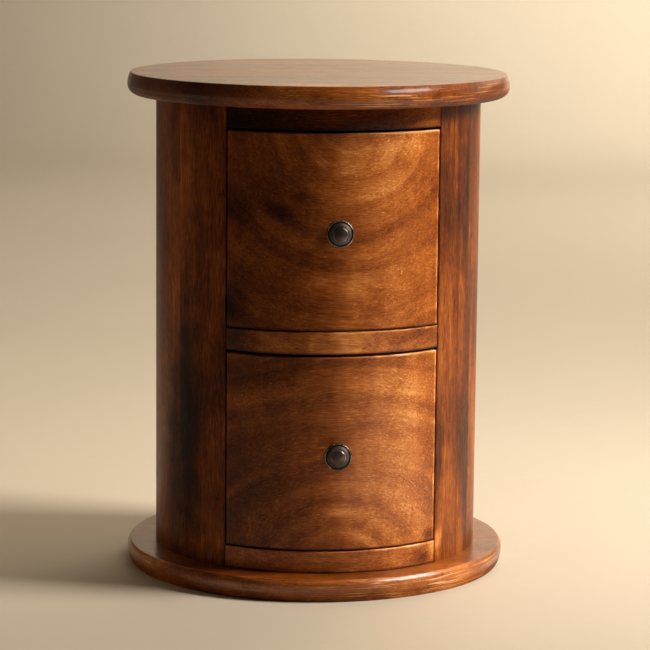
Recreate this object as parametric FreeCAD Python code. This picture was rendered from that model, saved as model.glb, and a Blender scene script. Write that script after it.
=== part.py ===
# A round two-drawer drum chest in solid wood, in millimetres.
# The origin is the centre of the base's underside, +Z is up, and the drawers face -Y.
import FreeCAD, Part
import math
import os

Vector = FreeCAD.Vector
ORIGIN = Vector(0, 0, 0)
UP = Vector(0, 0, 1)
ACROSS = Vector(1, 0, 0)

# Overall sizes
overall_height = 500.0
slab_radius = 192.5
rim_overhang = 29.0
top_thickness = 22.0
base_thickness = 22.0
wall_thickness = 20.0
stave_count = 12

# Swelling rims of the round top and base, as shares of the slab's thickness:
# how far the widest line lies below the upper face, and how far the two faces stop short of it
top_rim_shares = (0.55, 0.145, 0.32)
base_rim_shares = (0.32, 0.13, 0.18)
rim_easing = 1.0

# Front rails, and the frame that each of them closes
frame_names = ("bottom", "middle", "top")
rail_height = 22.0
rail_end_depth = 30.0
eased_edge = 1.2
runner_width = 20.0
tenon_length = 7.0
tenon_thickness = 8.0
tenon_shoulder = 4.0
joint_clearance = 0.1

# Guides and stops for the drawers
guide_thickness = 11.0
guide_rise = 16.0
guide_front_setback = 26.0
guide_rear_setback = 10.0
guide_clearance = 0.5
stop_width = 26.0
stop_depth = 12.0
stop_height = 30.0
stop_offset = 58.0
stop_clearance = 0.3

# Drawers. Their width is a share of the body's
drawer_width_share = 0.63
drawer_side_gap = 0.8
front_bottom_gap = 1.0
front_top_gap = 2.5
front_thickness = 28.0
front_end_depth = 22.0
front_lap = 8.0
side_thickness = 12.0
side_drop = 5.0
side_running_clearance = 0.3
back_thickness = 12.0
back_drop = 8.0
drawer_wall_clearance = 11.0
bottom_thickness = 5.0
bottom_rise = 10.0
groove_depth = 6.0
groove_clearance = 0.2
tail_count = 4
tail_width = 29.0
tail_flare = 2.3

# Turned drawer knob, its screw and its washer
knob_radius = 13.6
knob_projection = 21.5
knob_rise = 1.0
knob_hole_depth = 12.0
knob_screw_radius = 2.0
knob_screw_grip = 9.0
knob_screw_head_radius = 3.9
knob_screw_head_height = 2.6
thread_clearance = 0.05
hole_clearance = 0.25
washer_radius = 6.0
washer_thickness = 1.0
spot_face_radius = 7.0
spot_face_depth = 0.6

# Points of the knob's outline: shares of its radius and of its projection
knob_foot_shares = (0.55, 0.07)
knob_neck_shares = (0.35, 0.32)
knob_under_shares = (0.84, 0.63)
knob_edge_shares = (1.0, 0.73)
knob_rim_shares = (0.965, 0.81)
knob_bead_shares = (0.925, 0.81)
knob_groove_shares = (0.895, 0.765)
knob_dome_shares = (0.85, 0.77)
knob_shoulder_shares = (0.70, 0.855)
knob_step_shares = (0.55, 0.885)
knob_button_shares = (0.52, 0.905)
knob_turn_shares = (0.49, 0.945)
knob_crown_shares = (0.42, 0.96)

# Countersunk wood screws through the frames and the base
screw_length = 34.0
screw_radius = 2.0
screw_tip = 5.0
screw_head_radius = 4.0
screw_head_height = 2.6
screw_recess = 0.8
screw_clearance = 0.1
front_screw_offset = 55.0
back_screw_offset = 45.0
drive_length = 4.4
drive_width = 0.9
drive_depth = 1.3

# Dowels between the rails and the front stiles
dowel_radius = 3.0
dowel_in_rail = 16.0
dowel_in_stile = 10.0
dowel_setback = 16.0
dowel_spacing = 10.0

# Pins that hold each drawer bottom up to the drawer back
pin_radius = 0.9
pin_length = 22.0
pin_head_radius = 2.4
pin_head_height = 0.8
pin_offset = 62.0
pin_count = 3

# Length by which a cutting tool runs past the face that it cuts
overrun = 5.0

# Values worked out from the sizes above
body_radius = slab_radius - rim_overhang
body_bottom = base_thickness
body_top = overall_height - top_thickness
body_height = body_top - body_bottom
opening_height = (body_height - len(frame_names) * rail_height) / (len(frame_names) - 1)
frame_pitch = rail_height + opening_height
frame_bottom = {name: body_bottom + k * frame_pitch for k, name in enumerate(frame_names)}
frame_under = {"lower": "bottom", "upper": "middle"}

drawer_half = drawer_width_share * body_radius
opening_half = drawer_half + drawer_side_gap
guide_face = drawer_half + guide_clearance
jamb_front = math.sqrt(body_radius ** 2 - opening_half ** 2)
rail_back = jamb_front - rail_end_depth
inner_radius = body_radius - wall_thickness

jamb_angle = math.asin(opening_half / body_radius)
stave_angle = 2 * (math.pi - jamb_angle) / stave_count
joint_radius = inner_radius / math.cos(stave_angle / 2)
joint_angles = [jamb_angle + k * stave_angle for k in range(stave_count + 1)]

side_inner = drawer_half - side_thickness
drawer_rear = math.sqrt((inner_radius - drawer_wall_clearance) ** 2 - drawer_half ** 2)
back_rail_front = drawer_rear + stop_clearance
front_corner = math.sqrt(body_radius ** 2 - drawer_half ** 2)
front_shoulder = front_corner - front_end_depth
tail_length = front_end_depth - front_lap
front_inside = body_radius - front_thickness
hollow_sag = front_inside - front_shoulder
hollow_radius = (side_inner ** 2 + hollow_sag ** 2) / (2 * hollow_sag)
hollow_centre = hollow_radius - front_inside


# Small builders shared by the pieces

def around(angle, radius):
    """Point at an angle from the front, positive towards +X."""
    return Vector(radius * math.sin(angle), -radius * math.cos(angle), 0)


def outline(start, *steps):
    """Closed wire from start. A step is a point, or a pair of points, middle and end, for an arc."""
    edges = []
    here = start
    for step in steps + (start,):
        if isinstance(step, tuple):
            middle, there = step
            edges.append(Part.Arc(here, middle, there).toShape())
        else:
            there = step
            edges.append(Part.LineSegment(here, there).toShape())
        here = there
    return Part.Wire(edges)


def prism(wire, bottom, top):
    """Flat outline in XY, drawn up from one height to another."""
    solid = Part.Face(wire).extrude(UP * (top - bottom))
    solid.translate(UP * bottom)
    return solid


def block(x_span, y_span, z_span):
    """Box between two places on each axis."""
    low = Vector(x_span[0], y_span[0], z_span[0])
    return Part.makeBox(x_span[1] - x_span[0], y_span[1] - y_span[0], z_span[1] - z_span[0], low)


def mirrored(shape):
    """The same piece on the other side of the chest."""
    return shape.mirror(ORIGIN, ACROSS)


def both_sides(shape):
    return [shape, mirrored(shape)]


def group(shapes):
    """Separate solids that share one node."""
    return Part.makeCompound(shapes)


def arcs_of_radius(shape, radius):
    """Level arcs of that radius about the chest's axis."""
    found = []
    for edge in shape.Edges:
        curve = edge.Curve
        if isinstance(curve, Part.Circle) and math.isclose(curve.Radius, radius):
            found.append(edge)
    return found


def uprights_at(shape, point):
    """Upright edges over a point of the plan."""
    found = []
    for edge in shape.Edges:
        middle = edge.CenterOfMass
        if math.isclose(edge.BoundBox.XLength, 0, abs_tol=joint_clearance):
            if math.hypot(middle.x - point.x, middle.y - point.y) < joint_clearance:
                found.append(edge)
    return found


# The round top and base

def belly_point(inset, rise, share):
    """Point on a rim's arc, part of the way from its widest line to the face that lies a rise and an inset off."""
    radius = (inset ** 2 + rise ** 2) / (2 * inset)
    reach = share * abs(rise)
    return Vector(slab_radius - radius + math.sqrt(radius ** 2 - reach ** 2), 0, math.copysign(reach, rise))


def round_slab(bottom, thickness, rim_shares):
    """Disc whose rim swells to a widest line between its two flat faces, with eased arrises."""
    drop, upper_inset, lower_inset = (share * thickness for share in rim_shares)
    top = bottom + thickness
    widest = UP * (top - drop)
    rise, fall = drop, drop - thickness
    profile = outline(
        Vector(0, 0, bottom),
        widest + belly_point(lower_inset, fall, 1),
        (widest + belly_point(lower_inset, fall, 0.5), widest + belly_point(lower_inset, fall, 0)),
        (widest + belly_point(upper_inset, rise, 0.5), widest + belly_point(upper_inset, rise, 1)),
        Vector(0, 0, top),
    )
    slab = Part.Face(profile).revolve(ORIGIN, UP, 360)
    arris = arcs_of_radius(slab, slab_radius - upper_inset) + arcs_of_radius(slab, slab_radius - lower_inset)
    return slab.makeFillet(rim_easing, arris)


# The coopered shell

def shell_cavity():
    """Space inside the flat inner faces of the staves."""
    corners = [around(angle, joint_radius) for angle in joint_angles]
    return prism(outline(*corners), body_bottom, body_top)


def stave(number):
    """One upright stave: round outside, flat inside, with radial glue joints."""
    start, end = joint_angles[number], joint_angles[number + 1]
    section = outline(
        around(start, joint_radius),
        around(start, body_radius),
        (around((start + end) / 2, body_radius), around(end, body_radius)),
        around(end, joint_radius),
    )
    return prism(section, body_bottom, body_top)


def right_stile():
    """First stave, cut back to a flat jamb beside the drawers, with its outer arris eased."""
    beside = block((opening_half, body_radius), (-body_radius, 0), (body_bottom, body_top))
    stile = stave(0).common(beside).Solids[0]
    arris = uprights_at(stile, Vector(opening_half, -jamb_front, 0))
    stile = stile.makeFillet(eased_edge, arris)
    for name in frame_names:
        stile = cut_all(stile, right_dowels(name, joint_clearance))
    return stile


# The three frames that carry the drawers and stiffen the shell

def frame_span(name):
    return (frame_bottom[name], frame_bottom[name] + rail_height)


def cut_all(shape, tools):
    for tool in tools:
        shape = shape.cut(tool)
    return shape


def right_dowels(name, clearance=0.0):
    """Two dowels through the right end of a front rail, or the holes for them."""
    middle = frame_bottom[name] + rail_height / 2
    length = dowel_in_rail + dowel_in_stile + 2 * clearance
    dowels = []
    for shift in (-dowel_spacing / 2, dowel_spacing / 2):
        start = Vector(opening_half - dowel_in_rail - clearance, dowel_setback - jamb_front, middle + shift)
        dowels.append(Part.makeCylinder(dowel_radius + clearance, length, start, ACROSS))
    return dowels


def right_tenons(name, clearance=0.0):
    """Stub tenons on the two ends of a right-hand runner, or the mortises for them."""
    middle = frame_bottom[name] + rail_height / 2
    half = tenon_thickness / 2 + clearance
    inner = guide_face - runner_width + tenon_shoulder - clearance
    outer = guide_face - tenon_shoulder + clearance
    reach = tenon_length + clearance
    z_span = (middle - half, middle + half)
    front = block((inner, outer), (-rail_back - reach, -rail_back), z_span)
    rear = block((inner, outer), (back_rail_front, back_rail_front + reach), z_span)
    return [front, rear]


def mortised(rail, name):
    """A rail with the mortises for both runners' tenons cut in it."""
    for mortise in right_tenons(name, joint_clearance):
        rail = cut_all(rail, both_sides(mortise))
    return rail


def front_rail(name):
    """Curved rail between the stiles, flush with the shell outside and straight behind."""
    section = outline(
        Vector(-opening_half, -rail_back, 0),
        Vector(-opening_half, -jamb_front, 0),
        (Vector(0, -body_radius, 0), Vector(opening_half, -jamb_front, 0)),
        Vector(opening_half, -rail_back, 0),
    )
    rail = prism(section, *frame_span(name))
    rail = rail.makeFillet(eased_edge, arcs_of_radius(rail, body_radius))
    rail = mortised(rail, name)
    for dowel in right_dowels(name, joint_clearance):
        rail = cut_all(rail, both_sides(dowel))
    return drilled(rail)


def back_rail(name):
    """Rear rail of a frame, shaped to the flat faces inside the back staves."""
    plan = block((-guide_face, guide_face), (back_rail_front, body_radius), frame_span(name))
    return drilled(mortised(plan.common(shell_cavity()).Solids[0], name))


def right_runner(name):
    """Side strip of a frame: a drawer slides on it, or is kept from tipping by it."""
    strip = block((guide_face - runner_width, guide_face), (-rail_back, back_rail_front), frame_span(name))
    strip = strip.common(shell_cavity()).Solids[0]
    return strip.fuse(right_tenons(name)).removeSplitter().Solids[0]


def right_guide(name):
    """Strip glued to the outside of a runner. It stands above it and keeps the drawer straight."""
    low, high = frame_span(name)
    strip = block(
        (guide_face, guide_face + guide_thickness),
        (guide_front_setback - rail_back, back_rail_front - guide_rear_setback),
        (low, high + guide_rise),
    )
    return strip.common(shell_cavity()).Solids[0]


def right_stop(name):
    """Block on the back rail that stops the drawer when its front is flush."""
    high = frame_span(name)[1]
    x_span = (stop_offset - stop_width / 2, stop_offset + stop_width / 2)
    return block(x_span, (back_rail_front, back_rail_front + stop_depth), (high, high + stop_height))


# Wood screws, all driven upwards

def screw_places():
    """Plan positions of the screws through a frame: two in the front rail, two in the back rail."""
    front_y = -(rail_back + body_radius) / 2
    rear_y = (back_rail_front + inner_radius) / 2
    front = [(side * front_screw_offset, front_y) for side in (-1, 1)]
    rear = [(side * back_screw_offset, rear_y) for side in (-1, 1)]
    return front + rear


def screw_seats():
    """Faces that the screw heads are sunk into: the base's underside and the top frame's."""
    return {"base": 0.0, "top": frame_bottom["top"]}


def wood_screw(x, y, seat):
    """Countersunk screw with a cross recess. Its head lies below the face it is sunk into."""
    head = seat + screw_recess
    neck = head + screw_head_height
    end = head + screw_length
    profile = outline(
        Vector(0, 0, head),
        Vector(screw_head_radius, 0, head),
        Vector(screw_radius, 0, neck),
        Vector(screw_radius, 0, end - screw_tip),
        Vector(0, 0, end),
    )
    screw = Part.Face(profile).revolve(ORIGIN, UP, 360)
    screw.translate(Vector(x, y, 0))
    half, narrow = drive_length / 2, drive_width / 2
    depth = (head - overrun, head + drive_depth)
    screw = screw.cut(block((x - half, x + half), (y - narrow, y + narrow), depth))
    return screw.cut(block((x - narrow, x + narrow), (y - half, y + half), depth))


def screw_hole(x, y, seat):
    """Countersunk hole that a wood screw fits with a small clearance."""
    head = seat + screw_recess
    wide = screw_head_radius + screw_clearance
    slim = screw_radius + screw_clearance
    place = Vector(x, y, 0)
    mouth = Part.makeCylinder(wide, screw_recess + overrun, place + UP * (seat - overrun))
    cone = Part.makeCone(wide, slim, screw_head_height, place + UP * head)
    shank = Part.makeCylinder(slim, screw_length + screw_clearance, place + UP * head)
    return mouth.fuse([cone, shank])


def drilled(shape):
    """A piece with every screw hole that reaches it."""
    for seat in screw_seats().values():
        for x, y in screw_places():
            shape = shape.cut(screw_hole(x, y, seat))
    return shape.Solids[0]


def screws(seat_name):
    seat = screw_seats()[seat_name]
    return group([wood_screw(x, y, seat) for x, y in screw_places()])


# Drawers

class Drawer:
    """Heights of one drawer, worked out from the frame that it runs on."""

    def __init__(self, name):
        self.name = name
        self.run = frame_bottom[frame_under[name]] + rail_height
        self.front_low = self.run + front_bottom_gap
        self.front_high = self.run + opening_height - front_top_gap
        self.side_low = self.run + side_running_clearance
        self.side_high = self.front_high - side_drop
        self.bottom_low = self.side_low + bottom_rise
        self.back_low = self.bottom_low + bottom_thickness + groove_clearance
        self.back_high = self.side_high - back_drop
        self.knob_height = (self.front_low + self.front_high) / 2 + knob_rise


def right_tails(shoulder, end, low, high):
    """Dovetails on one end of a right-hand drawer side. They widen from the shoulder to the end."""
    pitch = (high - low) / tail_count
    wide = min(tail_width, pitch - 2 * tail_flare) / 2
    narrow = wide - tail_flare
    tails = []
    for k in range(tail_count):
        middle = low + (k + 0.5) * pitch
        section = outline(
            Vector(side_inner, shoulder, middle - narrow),
            Vector(side_inner, end, middle - wide),
            Vector(side_inner, end, middle + wide),
            Vector(side_inner, shoulder, middle + narrow),
        )
        tails.append(Part.Face(section).extrude(ACROSS * side_thickness))
    return tails


def right_front_tails(drawer):
    return right_tails(-front_shoulder, -front_shoulder - tail_length, drawer.side_low, drawer.side_high)


def right_back_pins(drawer):
    """Ends of the drawer back that show between the dovetails of the right-hand side."""
    shoulder = drawer_rear - back_thickness
    corner = block((side_inner, drawer_half), (shoulder, drawer_rear), (drawer.back_low, drawer.back_high))
    return cut_all(corner, right_tails(shoulder, drawer_rear, drawer.back_low, drawer.back_high))


def bottom_plan(low, high, clearance=0.0):
    """Drawer bottom between two heights: square behind, and bowed in front to follow the hollow drawer front."""
    reach = hollow_radius + groove_depth + clearance
    side = side_inner + groove_depth + clearance
    bow = math.sqrt(reach ** 2 - side_inner ** 2) - hollow_centre
    plan = outline(
        Vector(-side, drawer_rear, 0),
        Vector(-side, -front_shoulder, 0),
        Vector(-side_inner, -front_shoulder, 0),
        Vector(-side_inner, -bow, 0),
        (Vector(0, hollow_centre - reach, 0), Vector(side_inner, -bow, 0)),
        Vector(side_inner, -front_shoulder, 0),
        Vector(side, -front_shoulder, 0),
        Vector(side, drawer_rear, 0),
    )
    return prism(plan, low, high)


def bottom_groove(drawer):
    """Groove for the bottom, with a little room above and beyond it."""
    return bottom_plan(drawer.bottom_low, drawer.back_low, groove_clearance)


def drawer_front(drawer):
    """Bowed front, hollowed behind, with lapped dovetail sockets, a groove and a screw hole."""
    plan = outline(
        Vector(-drawer_half, -front_shoulder, 0),
        Vector(-drawer_half, -front_corner, 0),
        (Vector(0, -body_radius, 0), Vector(drawer_half, -front_corner, 0)),
        Vector(drawer_half, -front_shoulder, 0),
        Vector(side_inner, -front_shoulder, 0),
        (Vector(0, -front_inside, 0), Vector(-side_inner, -front_shoulder, 0)),
    )
    front = prism(plan, drawer.front_low, drawer.front_high)
    arris = arcs_of_radius(front, body_radius)
    for side in (-drawer_half, drawer_half):
        arris += uprights_at(front, Vector(side, -front_corner, 0))
    front = front.makeFillet(eased_edge, arris)
    for tail in right_front_tails(drawer):
        front = cut_all(front, both_sides(tail))
    front = front.cut(bottom_groove(drawer))
    return cut_all(front, knob_bore(drawer)).Solids[0]


def right_drawer_side(drawer):
    """Drawer side with lapped dovetails in front, through dovetails behind and a groove for the bottom."""
    board = block(
        (side_inner, drawer_half),
        (-front_shoulder, drawer_rear),
        (drawer.side_low, drawer.side_high),
    )
    board = board.fuse(right_front_tails(drawer)).removeSplitter()
    board = board.cut(right_back_pins(drawer)).cut(bottom_groove(drawer))
    return board.Solids[0]


def drawer_back(drawer):
    """Back board between the sides, with pins into their dovetails. It stands on the drawer bottom."""
    board = block(
        (-side_inner, side_inner),
        (drawer_rear - back_thickness, drawer_rear),
        (drawer.back_low, drawer.back_high),
    )
    ends = both_sides(right_back_pins(drawer))
    board = board.fuse(ends).removeSplitter()
    return cut_all(board, bottom_pins(drawer, joint_clearance)).Solids[0]


def drawer_bottom(drawer):
    """Thin panel held in the grooves of the front and sides."""
    panel = bottom_plan(drawer.bottom_low, drawer.bottom_low + bottom_thickness)
    return cut_all(panel, bottom_pins(drawer, joint_clearance)).Solids[0]


def bottom_pins(drawer, clearance=0.0):
    """Pins driven up through the bottom into the back, or the holes for them."""
    y = drawer_rear - back_thickness / 2
    middle = (pin_count - 1) / 2
    pins = []
    for k in range(pin_count):
        start = Vector((k - middle) * pin_offset, y, drawer.bottom_low)
        shank = Part.makeCylinder(pin_radius + clearance, pin_length + clearance, start)
        head = Part.makeCylinder(pin_head_radius, pin_head_height, start - UP * pin_head_height)
        pins.append(shank if clearance else shank.fuse(head).removeSplitter().Solids[0])
    return pins


# Knob and its screw, turned about a line that points out of the drawer front

def turned(drawer, *steps):
    """Solid of revolution about the knob's line. A point is a radius and a distance out from the drawer front."""
    def place(point):
        return Vector(point[0], -body_radius - point[1], drawer.knob_height)

    points = []
    for step in steps:
        arc = isinstance(step[0], tuple)
        points.append(tuple(place(point) for point in step) if arc else place(step))
    centre = Vector(0, 0, drawer.knob_height)
    return Part.Face(outline(*points)).revolve(centre, Vector(0, 1, 0), 360)


def knob_point(shares):
    return (shares[0] * knob_radius, shares[1] * knob_projection)


def knob(drawer):
    """Turned metal knob: a waisted stem, a beaded rim, a sunk ring, a dome and a raised button."""
    bore = knob_screw_radius + thread_clearance
    foot = knob_point(knob_foot_shares)
    crown = knob_point(knob_crown_shares)
    cap = knob_projection - crown[1]
    ball = (crown[0] ** 2 + cap ** 2) / (2 * cap)
    half = crown[0] / 2
    crown_middle = (half, knob_projection - ball + math.sqrt(ball ** 2 - half ** 2))
    return turned(
        drawer,
        (bore, 0),
        (foot[0], 0),
        foot,
        (knob_point(knob_neck_shares), knob_point(knob_under_shares)),
        (knob_point(knob_edge_shares), knob_point(knob_rim_shares)),
        (knob_point(knob_bead_shares), knob_point(knob_groove_shares)),
        knob_point(knob_dome_shares),
        (knob_point(knob_shoulder_shares), knob_point(knob_step_shares)),
        knob_point(knob_button_shares),
        (knob_point(knob_turn_shares), crown),
        (crown_middle, (0, knob_projection)),
        (0, knob_hole_depth),
        (bore, knob_hole_depth),
    )


def screw_seat():
    """Flat seat of the washer inside the hollow of the drawer front, as a distance out from its face."""
    return spot_face_depth - front_thickness


def knob_bore(drawer):
    """Hole for the knob's screw, and the flat seat round it inside the drawer."""
    seat = screw_seat()
    hole = knob_screw_radius + hole_clearance
    bore = turned(drawer, (0, overrun), (hole, overrun), (hole, seat - overrun), (0, seat - overrun))
    spot = turned(
        drawer,
        (0, seat),
        (spot_face_radius, seat),
        (spot_face_radius, seat - overrun),
        (0, seat - overrun),
    )
    return [bore, spot]


def knob_washer(drawer):
    seat = screw_seat()
    hole = knob_screw_radius + hole_clearance
    back = seat - washer_thickness
    return turned(drawer, (hole, seat), (washer_radius, seat), (washer_radius, back), (hole, back))


def knob_screw(drawer):
    """Pan-head screw from inside the drawer, through the front and into the knob, with a cross recess."""
    under_head = screw_seat() - washer_thickness
    head_end = under_head - knob_screw_head_height
    rounding = knob_screw_head_height / 2
    screw = turned(
        drawer,
        (0, knob_screw_grip),
        (knob_screw_radius, knob_screw_grip),
        (knob_screw_radius, under_head),
        (knob_screw_head_radius, under_head),
        (knob_screw_head_radius, head_end + rounding),
        (knob_screw_head_radius - rounding, head_end),
        (0, head_end),
    )
    half, narrow = drive_length / 2, drive_width / 2
    face = -body_radius - head_end
    depth = (face - drive_depth, face + overrun)
    middle = drawer.knob_height
    screw = screw.cut(block((-half, half), depth, (middle - narrow, middle + narrow)))
    return screw.cut(block((-narrow, narrow), depth, (middle - half, middle + half)))


# Every piece under its own name

def carcass_pieces():
    pieces = {
        "round_top": drilled(round_slab(body_top, top_thickness, top_rim_shares)),
        "round_base": drilled(round_slab(0, base_thickness, base_rim_shares)),
        "top_screws": screws("top"),
        "base_screws": screws("base"),
    }
    stile = right_stile()
    pieces["front_stile_right"], pieces["front_stile_left"] = both_sides(stile)
    for number in range(1, stave_count - 1):
        pieces[f"stave_{number:02d}"] = stave(number)
    dowels = []
    for name in frame_names:
        pieces[f"{name}_front_rail"] = front_rail(name)
        pieces[f"{name}_back_rail"] = back_rail(name)
        strip = "kicker" if name == "top" else "runner"
        runner = right_runner(name)
        pieces[f"{name}_{strip}_right"], pieces[f"{name}_{strip}_left"] = both_sides(runner)
        for dowel in right_dowels(name):
            dowels += both_sides(dowel)
    pieces["rail_dowels"] = group(dowels)
    for drawer_name, name in frame_under.items():
        guide = right_guide(name)
        pieces[f"{drawer_name}_guide_right"], pieces[f"{drawer_name}_guide_left"] = both_sides(guide)
        pieces[f"{drawer_name}_drawer_stops"] = group(both_sides(right_stop(name)))
    return pieces


def drawer_pieces(name):
    drawer = Drawer(name)
    side = right_drawer_side(drawer)
    return {
        f"{name}_drawer_front": drawer_front(drawer),
        f"{name}_drawer_side_right": side,
        f"{name}_drawer_side_left": mirrored(side),
        f"{name}_drawer_back": drawer_back(drawer),
        f"{name}_drawer_bottom": drawer_bottom(drawer),
        f"{name}_drawer_bottom_pins": group(bottom_pins(drawer)),
        f"{name}_knob": knob(drawer),
        f"{name}_knob_washer": knob_washer(drawer),
        f"{name}_knob_screw": knob_screw(drawer),
    }


def main():
    os.makedirs("parts", exist_ok=True)
    pieces = carcass_pieces()
    for name in frame_under:
        pieces.update(drawer_pieces(name))
    for name, shape in pieces.items():
        shape.exportStep(os.path.join("parts", f"{name}.step"))
    print(len(pieces), "pieces written")


main()
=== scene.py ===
"""Looks of the round two-drawer drum chest: finishes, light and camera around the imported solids."""
import math

import bmesh
import bpy
from mathutils import Matrix, Vector


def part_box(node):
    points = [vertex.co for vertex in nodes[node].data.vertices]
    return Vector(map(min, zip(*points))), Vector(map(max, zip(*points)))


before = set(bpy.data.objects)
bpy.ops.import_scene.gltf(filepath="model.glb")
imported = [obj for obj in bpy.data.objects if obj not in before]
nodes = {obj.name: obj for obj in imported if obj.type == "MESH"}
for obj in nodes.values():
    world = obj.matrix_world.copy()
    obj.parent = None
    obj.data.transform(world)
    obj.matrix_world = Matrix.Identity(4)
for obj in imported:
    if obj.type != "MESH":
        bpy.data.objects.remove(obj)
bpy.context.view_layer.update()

# Driving sizes of the chest in metres, and its count of staves, which the finishes and the lamps follow
BODY_RADIUS = 0.1635
OPENING_HALF = 0.1038
FRONT_HALF = 0.103
CHEST_MIDDLE = Vector((0, 0, 0.25))
STAVE_COUNT = 12

# Where the staves meet, as angles from the front, positive to the right
JAMB_ANGLE = math.asin(OPENING_HALF / BODY_RADIUS)
STAVE_ANGLE = 2 * (math.pi - JAMB_ANGLE) / STAVE_COUNT

# Widths of the rubbed arrises in metres, which carry wear and a painted highlight, the ends' share of the
# rubbing, and the painted shade in the gaps under lower arrises
UPPER_ARRIS = 0.0028
LOWER_ARRIS = 0.0028
END_ARRIS = 0.0026
END_SHARE = 0.6
PAINTED_GAP_SHADE = -0.40

# How far inside the edge of the top and base the finish of the rim starts and is full, in metres
RIM_START = 0.006
RIM_FULL = 0.001

# Heights between which the lacquer of a rim passes from dull to full, in metres, and what dull means
TOP_DULL = (0.483, 0.490)
BASE_DULL = (0.006, 0.012)
DULL_COAT = 0.05
DULL_ROUGHNESS = 0.30

# Turned forms of a knob, as radii from its axis in metres. Each pair goes from none of the form to all of it
KNOB_CROWN_START = (0.0062, 0.0068)
KNOB_CROWN_END = (0.0078, 0.0071)
KNOB_SHOULDER_START = (0.0074, 0.0080)
KNOB_SHOULDER_END = (0.0113, 0.0107)
KNOB_RING_START = (0.0107, 0.0112)
KNOB_RING_END = (0.0124, 0.0121)
KNOB_RIM_START = (0.0121, 0.0125)
KNOB_RIM_FALL = (0.0136, 0.0122)
KNOB_RIM_DEPTH = 0.0007

# What each form and noise of a knob adds to its shade and to its roughness
KNOB_SHADE = dict(plain=0.33, cloud=0.5, grit=0.25, ring=-0.5, rim=0.29, crown=0.34)
KNOB_ROUGHNESS = dict(plain=0.34, cloud=0.22, ring=0.3, shoulder=0.16, rim=-0.09, crown=-0.09)

# Stained wood, from the darkest streak to rubbed golden edges
CHESTNUT = (
    (0.00, (0.0080, 0.0022, 0.0008)),
    (0.20, (0.0400, 0.0076, 0.0010)),
    (0.42, (0.1280, 0.0270, 0.0026)),
    (0.62, (0.2800, 0.0720, 0.0085)),
    (0.80, (0.4700, 0.1450, 0.0230)),
    (1.00, (0.7200, 0.3250, 0.0950)),
)
# Pale colour of the rubbed arrises: bare wood, and a painted highlight
PALE_WEAR_AND_HIGHLIGHT = (0.84, 0.55, 0.35)

# Antiqued metal of the knobs, from the sunk ring to the rubbed rim
KNOB_METAL = (
    (0.0, (0.010, 0.009, 0.008)),
    (0.4, (0.080, 0.061, 0.052)),
    (0.6, (0.158, 0.126, 0.110)),
    (0.8, (0.42, 0.375, 0.34)),
    (1.0, (0.62, 0.57, 0.53)),
)

# Plated steel of the screws, pins and washers
STEEL = ((0.1, (0.36, 0.35, 0.31)), (0.9, (0.66, 0.64, 0.58)))
STEEL_SHADE = dict(cloud=0.9)
STEEL_ROUGHNESS = dict(plain=0.32, cloud=0.2, scuff=0.15)

# Pale floor
FLOOR_PALE = ((0.1, (0.47, 0.43, 0.365)), (0.9, (0.55, 0.505, 0.435)))
FLOOR_SHADE = dict(cloud=0.5, grit=0.25)
FLOOR_ROUGHNESS = dict(plain=0.55, cloud=0.1)

# Unstained wood of the planed drawer boxes, their bottoms and the sawn frames
BOX_WOOD = ((0.15, (0.30, 0.17, 0.08)), (0.85, (0.50, 0.32, 0.17)))
BOTTOM_WOOD = ((0.15, (0.40, 0.25, 0.13)), (0.85, (0.60, 0.42, 0.25)))
FRAME_WOOD = ((0.15, (0.24, 0.14, 0.07)), (0.85, (0.42, 0.27, 0.15)))
PLANED_ROUGHNESS = 0.62
SAWN_ROUGHNESS = 0.7

# Shade in the middle of a finish's colours, about which its noises swing
MIDDLE_SHADE = 0.5

# Noises of the stained wood. A stretch is features to a metre along the grain and both ways across it
STAIN = {
    "drift": dict(stretch=(4, 11, 11), detail=2.0),
    "ripple": dict(stretch=(14, 60, 60), detail=2.0),
    "streak": dict(stretch=(6, 150, 150), detail=3.0, roughness=0.6),
    "fibre": dict(stretch=(70, 850, 850), detail=3.0, roughness=0.7),
    "silk": dict(stretch=(70, 22, 40), detail=2.0, roughness=0.6, distortion=0.8),
    "blotch": dict(stretch=(6, 14, 14), detail=3.0, roughness=0.55),
    "pore": dict(stretch=(80, 850, 850), detail=1.0),
    "fleck": dict(stretch=(110, 760, 760), detail=1.0),
    "fade": dict(stretch=(11, 17, 17), detail=1.0),
    "wave": dict(stretch=(9, 24, 24), detail=1.0),
}
PORES = dict(low=0.62, high=0.72)
FLECK_SHIFT = (3.7, 1.9, 5.3)
STAIN_SHIFT = (1.7, 0.9, 2.3)
LINES_PER_METRE = 170.0

# What the noises of the stained wood add to its shade, roughness and relief
STAIN_SHADE = dict(fibre=0.75, pore=-0.18)
STAIN_ROUGHNESS = dict(blotch=0.16, streak=0.10, pore=0.12)
STAIN_RELIEF = dict(fibre=0.6, line=0.5, pore=-0.9)

# How far the rings of the stained wood wander, the grain to a radian of an arch, and depths, in metres
RING_DRIFT = 0.045
ARCH_DRIFT = 0.022
RING_RIPPLE = 0.006
ARCH_GRAIN = 0.2
WAVE_DEPTH = 0.006
STAIN_DEPTH = 0.0005

# The same for the unstained wood
PLAIN = {
    "drift": dict(stretch=(5, 14, 14), detail=2.0),
    "fibre": dict(stretch=(30, 1200, 1200), detail=2.0, roughness=0.6),
    "blotch": dict(stretch=(6, 18, 18), detail=2.0),
    "pore": dict(stretch=(60, 1000, 1000), detail=1.0),
}
PLAIN_SHADE = dict(line=0.8, fibre=0.6, blotch=0.7, pore=-0.3)
PLAIN_ROUGHNESS = dict(fibre=0.2)
PLAIN_RELIEF = dict(fibre=0.8, pore=-0.8, line=0.4)
PLAIN_PORES = dict(low=0.64, high=0.74)
PLAIN_SHIFT = (1.3, 2.1, 0.7)
PLAIN_LINES_PER_METRE = 190.0
PLAIN_RING_DRIFT = 0.05
PLAIN_RING_SCALE = (0.02, 1.0, 1.0)
PLAIN_DEPTH = 0.0004

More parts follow.
